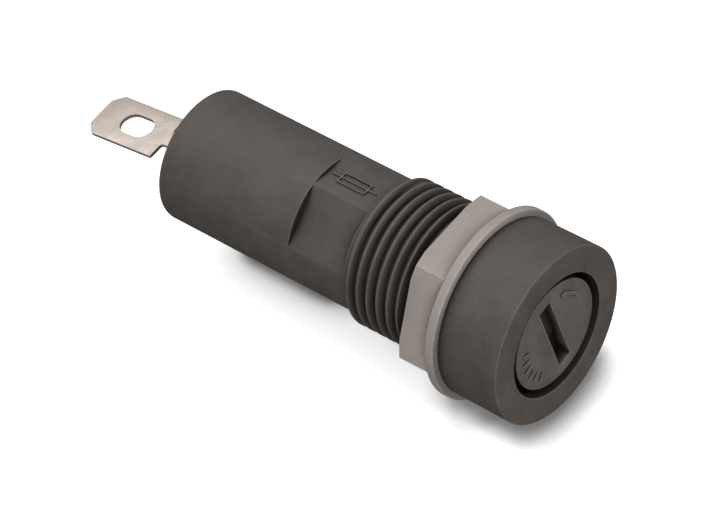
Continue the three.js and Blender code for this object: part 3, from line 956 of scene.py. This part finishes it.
# ---------------------------------------------------------------- the pieces
def build_body(settings):
    """The moulded body: bezel, thread, barrel, flats, bayonet track and label symbol."""
    body, thread = sizes_of(settings.body), sizes_of(settings.thread)
    contact, terminal = sizes_of(settings.contact), sizes_of(settings.terminal)
    whole = reach("holder_body")
    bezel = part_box("holder_body")[1].x / MM
    shape = turned(
        [
            (0, body.pocket_end),
            (body.pocket, body.pocket_end),
            (body.pocket, body.pocket_start),
            (body.bore, body.pocket_start),
            (body.bore, body.track_end),
            (body.ring, body.track_end),
            (body.ring, body.ledge_front),
            (body.mouth, body.ledge_front),
            (body.mouth, whole.start),
            (bezel, whole.start),
            (body.bezel_back, 0),
            (thread.root, 0),
            (thread.root, thread.shoulder),
            (body.barrel, thread.shoulder),
            (body.barrel, whole.end),
            (0, whole.end),
        ],
        closed=False,
    )
    soften(shape, body.rim_edge, rim(bezel, whole.start))
    soften(shape, body.rim_edge, rim(body.bezel_back, 0))
    soften(shape, body.mouth_edge, rim(body.mouth, whole.start))
    soften(shape, body.tail_edge, rim(body.barrel, whole.end))
    inside, back = body.bore - body.track_reach, body.track_end + SUNK
    open_at = settings.cap.slot_at + math.pi / 2
    tracks = []
    for entry in (open_at, open_at + math.pi):
        mouth = (body.ledge_front - SUNK, back)
        tracks.append(sector(inside, body.groove, entry, body.swing, *mouth))
        middle, half = entry - math.pi / 4, body.swing + math.pi / 4
        tracks.append(sector(inside, body.groove, middle, half, body.ledge_back, back))
    span = (body.flats_start, body.flats_end)
    slot = Vector((terminal.rear_neck / 2, 0, terminal.rear_thickness / 2))
    slot += Vector((body.slot_play, 0, body.slot_play))
    shape = carved(
        shape,
        *tracks,
        flat_cut(body.flat, body.flat_at, *span),
        flat_cut(body.pad, body.pad_at, *span),
        flat_cut(body.flat, body.terminal_at, *span),
        rivet_drill(contact, -body.flat),
        block(AXIS * (body.pocket_end - PAST) - slot, AXIS * (whole.end + PAST) + slot),
    )
    ridge = thread_ridge(thread, thread.start, thread.end)
    run_out = disc(
        thread.run_out, thread.end - thread.run_out_start, thread.end - thread.run_out_end
    )
    turn(shift(run_out, x=thread.run_out_offset), thread.run_out_at)
    finish_piece(
        "body_moulding",
        joined(shape, ridge, run_out, label_marks(body)),
        "holder",
        body_plastic(settings),
        ["holder_body"],
    )


def label_marks(body):
    """A plain fuse symbol in relief on the label pad, in place of lettering."""
    line, wide, long, wire = body.mark_line, body.mark_width, body.mark_length, body.mark_wire
    low, high = body.pad - SUNK, body.pad + body.mark_relief
    middle = (body.flats_start + body.flats_end) / 2 + body.mark_behind
    bars = [
        ((-wide, -long), (-wide + line, long)),
        ((wide - line, -long), (wide, long)),
        ((-wide, -long), (wide, -long + line)),
        ((-wide, long - line), (wide, long)),
        ((-line / 2, -wire), (line / 2, wire)),
    ]
    marks = []
    for i, (a, b) in enumerate(bars):
        lower = APART * i
        bar = block((low - lower, middle + a[1], a[0]), (high - lower, middle + b[1], b[0]))
        marks.append(turn(soften(bar, body.mark_edge, segments=1), body.pad_at))
    return joined(*marks)


def build_nut(settings):
    """The hexagon with its turned corners and its thread."""
    nut, thread = sizes_of(settings.nut), sizes_of(settings.thread)
    low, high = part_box("mounting_nut")
    start, end = low.y / MM, high.y / MM
    corner = high.x / MM
    hexagon = bmesh.new()
    bmesh.ops.create_cone(
        hexagon, cap_ends=True, segments=6, radius1=corner, radius2=corner, depth=end - start
    )
    turn(hexagon, math.pi / 2, ACROSS)
    turn(hexagon, FULL_TURN / 12)
    shift(hexagon, y=(start + end) / 2)
    slope = nut.corner_drop / (corner - nut.crown)
    wide = corner + PAST
    crown = turned(
        [
            (0, start - PAST),
            (wide, start - PAST),
            (wide, end - slope * (wide - nut.crown)),
            (nut.crown, end),
            (nut.crown, end + SUNK),
            (0, end + SUNK),
        ],
        closed=False,
    )
    shape = carved(hexagon, crown, operation="INTERSECT")
    soften(shape, nut.edge, segments=2, sharper_than=math.radians(9))
    shape = carved(
        shape,
        disc(nut.bore, start - PAST, end + PAST),
        thread_ridge(
            thread,
            thread.start - 2 * thread.pitch,
            thread.start + 6 * thread.pitch,
            thread.clearance,
            nut.groove_play,
        ),
    )
    finish_piece(
        "hex_nut", shape, "nut", grey_plastic(settings.finish), ["mounting_nut"]
    )


def build_washer(settings):
    """The flange washer in front of the nut."""
    nut = sizes_of(settings.nut)
    size = reach("flange_washer")
    shape = ring(nut.washer_bore, size.radius, size.start, size.end)
    for place in (size.start, size.end):
        soften(shape, nut.washer_edge, rim(size.radius, place), segments=4)
    for place in (size.start, size.end):
        soften(shape, nut.bore_edge, rim(nut.washer_bore, place))
    finish_piece(
        "panel_washer", shape, "washer", grey_plastic(settings.finish), ["flange_washer"]
    )


def build_cap(settings):
    """The bayonet cap with its slot, lugs and marks."""
    cap = sizes_of(settings.cap)
    size = reach("carrier_cap")
    shape = turned(
        [
            (0, size.start),
            (cap.head, size.start),
            (cap.head, cap.skirt_end),
            (cap.stem, cap.skirt_end),
            (cap.stem, size.end),
            (cap.cavity, size.end),
            (cap.cavity, cap.cavity_front),
            (0, cap.cavity_front),
        ],
        closed=False,
    )
    soften(shape, cap.head_edge, rim(cap.head, size.start))
    soften(shape, cap.stem_edge, rim(cap.stem, size.end))
    half_length, half_width = cap.slot_length / 2, cap.slot_width / 2
    above, step, shelf = size.start - PAST, -cap.slot_step_at, size.start + cap.slot_step
    bottom = size.start + cap.slot_depth
    deep = block((-half_length, above, -half_width), (step, bottom, half_width))
    shallow = block((step - SUNK, above, -half_width), (half_length, shelf, half_width))
    shape = carved(shape, turn(deep, cap.slot_at), turn(shallow, cap.slot_at))

    def on_slot(point):
        return abs(point.y - size.start) < 0.01 and math.hypot(point.x, point.z) < cap.head - 0.5

    soften(shape, cap.slot_edge, on_slot, segments=2)
    lugs = []
    inside = cap.head - cap.lug_root
    for facing in (cap.slot_at, cap.slot_at + math.pi):
        lug = sector(inside, lug_reach(), facing, cap.lug_width, cap.lug_front, cap.skirt_end)
        lugs.append(soften(lug, cap.slot_edge, segments=2))
    top = shelf - cap.pip_height
    foot = shelf + SUNK / 2
    pip = turned(
        [(0, top), (cap.pip_top, top + cap.pip_round), (cap.pip, foot), (0, foot)],
        closed=False,
        sides=16,
    )
    shift(pip, x=-cap.pip_at * math.cos(cap.slot_at), z=-cap.pip_at * math.sin(cap.slot_at))
    finish_piece(
        "bayonet_cap",
        joined(shape, *lugs, pip, *cap_marks(cap, size.start)),
        "cap",
        cap_plastic(settings.finish),
        ["carrier_cap"],
    )


def lug_reach():
    """How far the lugs reach from the axis: the farthest that the cap comes."""
    low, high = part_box("carrier_cap")
    return max(high.x, high.z, -low.x, -low.z) / MM + 0.01


def cap_marks(cap, face):
    """A turning arrow on one side of the slot and a fan of short ticks on the other, in relief."""
    top, foot = face - cap.relief, face + SUNK
    inner, outer = cap.arrow - cap.mark_line, cap.arrow + cap.mark_line
    arc = sector(inner, outer, cap.arrow_at, cap.arrow_half, top, foot, 180)
    marks = [soften(arc, cap.mark_edge, segments=1)]
    head = bmesh.new()
    bmesh.ops.create_cone(
        head,
        cap_ends=True,
        segments=3,
        radius1=cap.arrow_foot,
        radius2=cap.arrow_top,
        depth=foot - top,
    )
    turn(head, math.pi / 2, ACROSS)
    shift(head, x=cap.arrow, y=(foot + top) / 2)
    marks.append(turn(head, cap.arrow_at + cap.arrow_half))
    for i in range(6):
        tick = block((cap.tick_start, top, -cap.tick_line), (cap.tick_end, foot, cap.tick_line))
        marks.append(turn(soften(tick, cap.mark_edge, segments=1), cap.tick_at + i * cap.tick_step))
    return marks


def build_thrust_disc(settings):
    """The disc on which the cap turns."""
    cap = sizes_of(settings.cap)
    size = reach("cap_thrust_disc")
    shape = ring(cap.disc_bore, size.radius, size.start, size.end, SMALL_ROUND)
    soften(shape, cap.disc_edge, segments=2)
    finish_piece(
        "thrust_washer", shape, "thrust_disc", brass(settings.finish), ["cap_thrust_disc"]
    )


def build_springs(settings):
    """Two coils, each wound to the length of the part that it replaces."""
    wires = {"cap_press": settings.cap.spring_wire, "contact_press": settings.contact.spring_wire}
    for name, node, body, joint, turns in (
        ("cap_coil", "cap_spring", "fuse_carrier", "cap_press", CAP_COIL_TURNS),
        ("contact_coil", "contact_spring", "holder", "contact_press", CONTACT_COIL_TURNS),
    ):
        wire = wires[joint] / MM
        size = reach(node)
        shape = coil(size.radius - wire, wire, size.start, size.end, turns)
        piece = finish_piece(name, shape, body, spring_steel(settings.finish), [node])
        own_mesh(piece)


def build_clip(settings):
    """The sprung clip round the front of the fuse."""
    fuse = sizes_of(settings.fuse)
    size = reach("fuse_clip")
    outside = fuse.clip_inside + fuse.clip_wall
    finger = [
        (outside, fuse.clip_neck),
        (outside + 0.55, fuse.clip_neck + 0.7),
        (fuse.clip_bulge, fuse.clip_bulge_at),
        (outside + 0.65, fuse.clip_bulge_at + 0.6),
        (outside + 0.2, size.end),
    ]
    lining = [(radius - fuse.clip_wall, place) for radius, place in reversed(finger)]
    floor = size.start + fuse.clip_wall
    shape = turned(
        [(0, size.start), (outside, size.start), *finger, *lining, (fuse.clip_inside, floor), (0, floor)],
        closed=False,
        sides=SMALL_ROUND,
    )
    soften(shape, fuse.clip_edge, rim(outside, size.start))
    half, far = fuse.clip_slit / 2, fuse.clip_bulge + 2 * PAST
    slits = [
        turn(block((-far, fuse.clip_slit_start, -half), (far, size.end + PAST, half)), at)
        for at in (FULL_TURN / 8, FULL_TURN * 3 / 8)
    ]
    finish_piece(
        "sprung_clip",
        carved(shape, *slits),
        "fuse_carrier",
        tin_plate(settings.finish),
        ["fuse_clip"],
    )


def build_fuse(settings):
    """The fuse: end caps, tube, solder and wire."""
    fuse = sizes_of(settings.fuse)
    finish = settings.finish
    for name, node, facing in (
        ("fuse_cap_front", "fuse_front_cap", 1),
        ("fuse_cap_rear", "fuse_rear_cap", -1),
    ):
        size = reach(node)
        wall, back = (size.start, size.end) if facing > 0 else (size.end, size.start)
        inner = size.radius - fuse.cap_wall
        floor = wall + fuse.cap_floor * facing
        shape = turned(
            [(0, wall), (size.radius, wall), (size.radius, back), (inner, back), (inner, floor), (0, floor)],
            closed=False,
            sides=SMALL_ROUND,
        )
        soften(shape, fuse.cap_edge, rim(size.radius, wall), segments=4)
        soften(shape, fuse.cap_lip, rim(size.radius, back), segments=2)
        finish_piece(name, shape, "fuse_carrier", nickel(finish), [node])
    size = reach("fuse_glass_tube")
    tube = ring(fuse.glass_bore, size.radius, size.start, size.end, SMALL_ROUND)
    soften(tube, fuse.tube_edge)
    glass = tube_glass("Tube glass", finish.glass)
    finish_piece("glass_tube", tube, "fuse_carrier", glass, ["fuse_glass_tube"])
    for name, node, facing in (
        ("solder_bead_front", "fuse_solder_front", 1),
        ("solder_bead_rear", "fuse_solder_rear", -1),
    ):
        size = reach(node)
        wall = size.start if facing > 0 else size.end
        height = (size.end - size.start) * facing
        arc = [math.pi / 2 * i / 8 for i in range(9)]
        dome = [(size.radius * math.cos(a), wall + height * math.sin(a)) for a in arc[:-1]]
        shape = turned([(0, wall), *dome, (0, wall + height)], closed=False, sides=24)
        finish_piece(name, shape, "fuse_carrier", solder(finish), [node])
    size = reach("fuse_element")
    twist = size.radius - fuse.element_wire
    shape = coil(twist, fuse.element_wire, size.start, size.end, FUSE_WIRE_TURNS, sides=12)
    wire = spring_steel(finish)
    finish_piece("fuse_wire", shape, "fuse_carrier", wire, ["fuse_element"])


def build_contacts(settings):
    """The contact sleeve, the spring cup and the plunger."""
    contact, body = sizes_of(settings.contact), sizes_of(settings.body)
    finish = settings.finish
    size = reach("contact_sleeve")
    shape = ring(contact.sleeve_inside, size.radius, size.start, size.end)
    soften(shape, contact.sleeve_edge, segments=2)
    half = contact.sleeve_slit / 2
    gap = block((-half, size.start - PAST, 0), (half, size.end + PAST, size.radius + PAST))
    shape = carved(shape, gap, rivet_drill(contact, -body.flat))
    sheet = tin_plate(finish)
    finish_piece("sleeve_contact", shape, "holder", sheet, ["contact_sleeve"])
    size = reach("contact_cup")
    wall = contact.cup_wall
    shape = turned(
        [
            (0, size.end - wall),
            (contact.cup_inside, size.end - wall),
            (contact.cup_inside, size.start + wall),
            (contact.cup_lip, size.start + wall),
            (contact.cup_lip, size.start),
            (size.radius, size.start),
            (size.radius, size.end),
            (0, size.end),
        ],
        closed=False,
        sides=SMALL_ROUND,
    )
    soften(shape, contact.cup_edge, rim(size.radius, size.start))
    soften(shape, contact.cup_edge, rim(size.radius, size.end))
    finish_piece("spring_cup", shape, "holder", brass(finish), ["contact_cup"])
    size = reach("contact_plunger")
    nose, start = contact.plunger_nose, contact.flange_start
    shape = turned(
        [
            (0, size.start),
            (nose - 0.75, size.start + 0.03),
            (nose - 0.3, size.start + 0.16),
            (nose, size.start + contact.nose_depth),
            (nose, start),
            (size.radius, start),
            (size.radius, size.end),
            (contact.plunger_bore, size.end),
            (contact.plunger_bore, start - contact.plunger_floor),
            (0, start - contact.plunger_floor),
        ],
        closed=False,
        sides=SMALL_ROUND,
    )
    soften(shape, contact.flange_edge, rim(size.radius, start), segments=2)
    finish_piece("nose_contact", shape, "plunger", brass(finish), ["contact_plunger"])


def build_side_terminal(settings):
    """The side blade, bent clear of the barrel, and its rivet."""
    contact, terminal = sizes_of(settings.contact), sizes_of(settings.terminal)
    low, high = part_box("side_terminal")
    top, bottom, start, end = high.z / MM, low.z / MM, low.y / MM, high.y / MM
    sheet = terminal.side_thickness
    bend_start, bend_end = terminal.side_bend_start, terminal.side_bend_end
    slant = sheet / 5
    profile = [
        (start, top),
        (bend_start, top),
        (bend_end, bottom + sheet),
        (end, bottom + sheet),
        (end, bottom),
        (bend_end - slant, bottom),
        (bend_start - slant, top - sheet),
        (start, top - sheet),
    ]
    strip = shift(plate(profile, terminal.width, "YZ"), x=-terminal.width / 2)

    def on_bend(point):
        near = min(abs(point.y - bend_start), abs(point.y - bend_end))
        return near < 0.11 and abs(point.x) < 0.01

    soften(strip, terminal.bend_round, on_bend, sharper_than=math.radians(40))
    outline = blade_outline(terminal, terminal.side_neck, start - PAST, bend_end + 0.5, end)
    stamp = shift(plate(outline, 8), z=-12)
    strip = carved(strip, stamp, operation="INTERSECT")
    soften(strip, terminal.edge, segments=2, sharper_than=math.radians(35))
    middle = end - terminal.hole_from_tip
    strip = carved(strip, wire_hole(terminal, middle, -12, 0), rivet_drill(contact, -5))
    finish = tin_plate(settings.finish)
    finish_piece("side_blade", strip, "holder", finish, ["side_terminal"])
    build_rivet(settings)


def build_rivet(settings):
    """The rivet through blade, barrel wall and sleeve."""
    contact = sizes_of(settings.contact)
    low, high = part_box("side_rivet")
    outer, inner = low.z / MM, high.z / MM
    head, wide = contact.rivet_head, (high.x - low.x) / MM / 2
    shape = turned(
        [
            (0, outer),
            (wide * 0.45, outer + head * 0.06),
            (wide * 0.8, outer + head * 0.35),
            (wide, outer + head * 0.75),
            (wide, outer + head),
            (contact.rivet_shank, outer + head),
            (contact.rivet_shank, inner - head),
            (contact.rivet_inner, inner - head),
            (contact.rivet_inner * 0.9, inner - head * 0.2),
            (contact.rivet_inner * 0.5, inner),
            (0, inner),
        ],
        closed=False,
        sides=SMALL_ROUND,
    )
    turn(shape, math.pi / 2, ACROSS)
    shift(shape, y=contact.rivet_at)
    finish_piece("terminal_rivet", shape, "holder", brass(settings.finish), ["side_rivet"])


def build_rear_terminal(settings):
    """The rear blade with its bend, its neck and the foot inside the barrel."""
    terminal, body = sizes_of(settings.terminal), sizes_of(settings.body)
    wall_end = reach("holder_body").end
    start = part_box("rear_terminal")[0].y / MM
    half = terminal.rear_thickness / 2
    bend_at = wall_end + terminal.rear_bend_gap
    tip = terminal.rear_length
    outline = blade_outline(terminal, terminal.rear_neck, 0, terminal.rear_shoulder, tip)
    blade = shift(plate(outline, 2 * half), z=-half)

    def on_corner(point):
        return abs(point.z) < 0.01 and point.y > terminal.rear_shoulder - 0.1

    def on_face(point):
        return abs(abs(point.z) - half) < 0.01

    soften(blade, terminal.corner_round, on_corner, sharper_than=math.radians(30))
    soften(blade, terminal.edge, on_face, segments=2)
    hole = wire_hole(terminal, tip - terminal.hole_from_tip, -2, 2)
    blade = carved(blade, hole)
    turn(blade, terminal.rear_bend, ACROSS)
    shift(blade, y=bend_at)
    neck_half = terminal.rear_neck / 2
    neck = block((-neck_half, start + SUNK, -half), (neck_half, bend_at + 0.05, half))
    foot = carved(
        disc(terminal.rear_foot, start, body.pocket_end - 0.06, SMALL_ROUND),
        block((-4, start - PAST, -4), (4, body.pocket_end + PAST, half)),
        operation="INTERSECT",
    )
    shape = carved(blade, neck, foot, operation="UNION")
    finish = tin_plate(settings.finish)
    finish_piece("rear_blade", shape, "holder", finish, ["rear_terminal"])


# ---------------------------------------------------------------- stage
def area_light(name, place, target, size, power):
    """A white square lamp that faces a point."""
    light = bpy.data.lights.new(name, "AREA")
    light.shape = "SQUARE"
    light.size = size
    light.energy = power
    lamp = bpy.data.objects.new(name, light)
    lamp.location = place
    lamp.rotation_mode = "QUATERNION"
    lamp.rotation_quaternion = (Vector(target) - Vector(place)).to_track_quat("-Z", "Y")
    bpy.context.scene.collection.objects.link(lamp)


def build_floor(finish):
    """The studio floor, just under the holder."""
    bm = bmesh.new()
    bmesh.ops.create_grid(bm, x_segments=8, y_segments=8, size=3)
    bmesh.ops.translate(bm, vec=(0, 0, CAD_BOX[0].z - UNDER), verts=bm.verts)
    mesh = bpy.data.meshes.new("floor")
    bm.to_mesh(mesh)
    bm.free()
    mesh.materials.append(studio_floor("Floor", finish.floor))
    floor = bpy.data.objects.new("floor", mesh)
    bpy.context.scene.collection.objects.link(floor)
    floor.visible_diffuse = False
    floor.visible_glossy = False


def build_camera():
    """Looks down on the front left of the holder, with the head tilted so that the barrel slopes."""
    azimuth, elevation, roll = (math.radians(value) for value in CAMERA_TURN)
    back = Vector(
        (
            math.sin(azimuth) * math.cos(elevation),
            -math.cos(azimuth) * math.cos(elevation),
            math.sin(elevation),
        )
    )
    data = bpy.data.cameras.new("camera")
    data.sensor_width = 36
    data.lens = CAMERA_LENS
    data.clip_start, data.clip_end = 0.01, 20
    camera = bpy.data.objects.new("camera", data)
    camera.rotation_mode = "QUATERNION"
    level = (-back).to_track_quat("-Z", "Y")
    camera.rotation_quaternion = level @ Matrix.Rotation(roll, 3, "Z").to_quaternion()
    camera.location = Vector(CAMERA_AIM) * MM + back * CAMERA_RANGE * MM
    bpy.context.scene.collection.objects.link(camera)
    bpy.context.scene.camera = camera


def build_lights():
    """A pale sky that darkens below the horizon, and three lamps."""
    scene = bpy.context.scene
    scene.view_settings.view_transform = "Standard"
    world = bpy.data.worlds.new("studio")
    world.use_nodes = True
    graph = Graph(world.node_tree)
    background = world.node_tree.nodes["Background"]
    background.inputs["Color"].default_value = (1.0, 0.995, 0.985, 1.0)
    direction = graph.add("ShaderNodeTexCoord").outputs["Generated"]
    height = graph.add("ShaderNodeSeparateXYZ", {0: direction}).outputs["Z"]
    graph.feed(background.inputs["Strength"], graph.spread(height, -0.12, 0.04, 0.12, 0.55))
    scene.world = world
    for name, place, size, power in LAMPS:
        area_light(name, place, (0, 0.015, 0), size, power)


# ---------------------------------------------------------------- operators
class FUSE_HOLDER_OT_body(bpy.types.Operator):
    """Moulds the barrel, bezel and thread"""

    bl_idname = "fuse_holder.body"
    bl_label = "Body"
    bl_options = {"REGISTER", "UNDO"}

    def execute(self, context):
        build_body(context.scene.fuse_holder)
        return {"FINISHED"}


class FUSE_HOLDER_OT_nut(bpy.types.Operator):
    """Makes the hexagon panel nut"""

    bl_idname = "fuse_holder.nut"
    bl_label = "Nut"
    bl_options = {"REGISTER", "UNDO"}

    def execute(self, context):
        build_nut(context.scene.fuse_holder)
        return {"FINISHED"}


class FUSE_HOLDER_OT_washer(bpy.types.Operator):
    """Makes the washer behind the bezel"""

    bl_idname = "fuse_holder.washer"
    bl_label = "Washer"
    bl_options = {"REGISTER", "UNDO"}

    def execute(self, context):
        build_washer(context.scene.fuse_holder)
        return {"FINISHED"}


class FUSE_HOLDER_OT_cap(bpy.types.Operator):
    """Makes the slotted bayonet cap"""

    bl_idname = "fuse_holder.cap"
    bl_label = "Cap"
    bl_options = {"REGISTER", "UNDO"}

    def execute(self, context):
        build_cap(context.scene.fuse_holder)
        return {"FINISHED"}


class FUSE_HOLDER_OT_thrust_disc(bpy.types.Operator):
    """Makes the disc between cap and spring"""

    bl_idname = "fuse_holder.thrust_disc"
    bl_label = "Thrust Disc"
    bl_options = {"REGISTER", "UNDO"}

    def execute(self, context):
        build_thrust_disc(context.scene.fuse_holder)
        return {"FINISHED"}


class FUSE_HOLDER_OT_springs(bpy.types.Operator):
    """Winds the two coil springs"""

    bl_idname = "fuse_holder.springs"
    bl_label = "Springs"
    bl_options = {"REGISTER", "UNDO"}

    def execute(self, context):
        build_springs(context.scene.fuse_holder)
        return {"FINISHED"}


class FUSE_HOLDER_OT_clip(bpy.types.Operator):
    """Makes the slit cup that grips the fuse"""

    bl_idname = "fuse_holder.clip"
    bl_label = "Fuse Clip"
    bl_options = {"REGISTER", "UNDO"}

    def execute(self, context):
        build_clip(context.scene.fuse_holder)
        return {"FINISHED"}


class FUSE_HOLDER_OT_fuse(bpy.types.Operator):
    """Makes the glass cartridge fuse"""

    bl_idname = "fuse_holder.fuse"
    bl_label = "Fuse"
    bl_options = {"REGISTER", "UNDO"}

    def execute(self, context):
        build_fuse(context.scene.fuse_holder)
        return {"FINISHED"}


class FUSE_HOLDER_OT_contacts(bpy.types.Operator):
    """Makes the sleeve, cup and nose contacts"""

    bl_idname = "fuse_holder.contacts"
    bl_label = "Contacts"
    bl_options = {"REGISTER", "UNDO"}

    def execute(self, context):
        build_contacts(context.scene.fuse_holder)
        return {"FINISHED"}


class FUSE_HOLDER_OT_side_terminal(bpy.types.Operator):
    """Makes the riveted side blade"""

    bl_idname = "fuse_holder.side_terminal"
    bl_label = "Side Terminal"
    bl_options = {"REGISTER", "UNDO"}

    def execute(self, context):
        build_side_terminal(context.scene.fuse_holder)
        return {"FINISHED"}


class FUSE_HOLDER_OT_rear_terminal(bpy.types.Operator):
    """Makes the rear blade"""

    bl_idname = "fuse_holder.rear_terminal"
    bl_label = "Rear Terminal"
    bl_options = {"REGISTER", "UNDO"}

    def execute(self, context):
        build_rear_terminal(context.scene.fuse_holder)
        return {"FINISHED"}


class FUSE_HOLDER_OT_stage(bpy.types.Operator):
    """Sets the floor, lights and camera"""

    bl_idname = "fuse_holder.stage"
    bl_label = "Stage"
    bl_options = {"REGISTER", "UNDO"}

    def execute(self, context):
        build_camera()
        build_floor(context.scene.fuse_holder.finish)
        build_lights()
        return {"FINISHED"}


MAKERS = [
    FUSE_HOLDER_OT_body,
    FUSE_HOLDER_OT_nut,
    FUSE_HOLDER_OT_washer,
    FUSE_HOLDER_OT_cap,
    FUSE_HOLDER_OT_thrust_disc,
    FUSE_HOLDER_OT_springs,
    FUSE_HOLDER_OT_clip,
    FUSE_HOLDER_OT_fuse,
    FUSE_HOLDER_OT_contacts,
    FUSE_HOLDER_OT_side_terminal,
    FUSE_HOLDER_OT_rear_terminal,
    FUSE_HOLDER_OT_stage,
]


class FUSE_HOLDER_PT_panel(bpy.types.Panel):
    """Lists the steps in the order they are run."""

    bl_idname = "FUSE_HOLDER_PT_panel"
    bl_label = "Fuse Holder"
    bl_space_type = "VIEW_3D"
    bl_region_type = "UI"
    bl_category = "Fuse Holder"

    def draw(self, context):
        for made in MAKERS:
            self.layout.operator(made.bl_idname)


GROUPS = [
    BodySizes,
    ThreadSizes,
    NutSizes,
    CapSizes,
    FuseSizes,
    ContactSizes,
    TerminalSizes,
    Finishes,
    FuseHolderSettings,
]


def register():
    """Registers the add-on."""
    for made in (*GROUPS, *MAKERS, FUSE_HOLDER_PT_panel):
        bpy.utils.register_class(made)
    bpy.types.Scene.fuse_holder = bpy.props.PointerProperty(type=FuseHolderSettings)


def unregister():
    """Takes the add-on out again."""
    del bpy.types.Scene.fuse_holder
    for made in reversed((*GROUPS, *MAKERS, FUSE_HOLDER_PT_panel)):
        bpy.utils.unregister_class(made)


def main():
    """Runs every step in order."""
    register()
    for made in MAKERS:
        getattr(bpy.ops.fuse_holder, made.bl_idname.split(".")[1])()


if __name__ == "__main__":
    main()
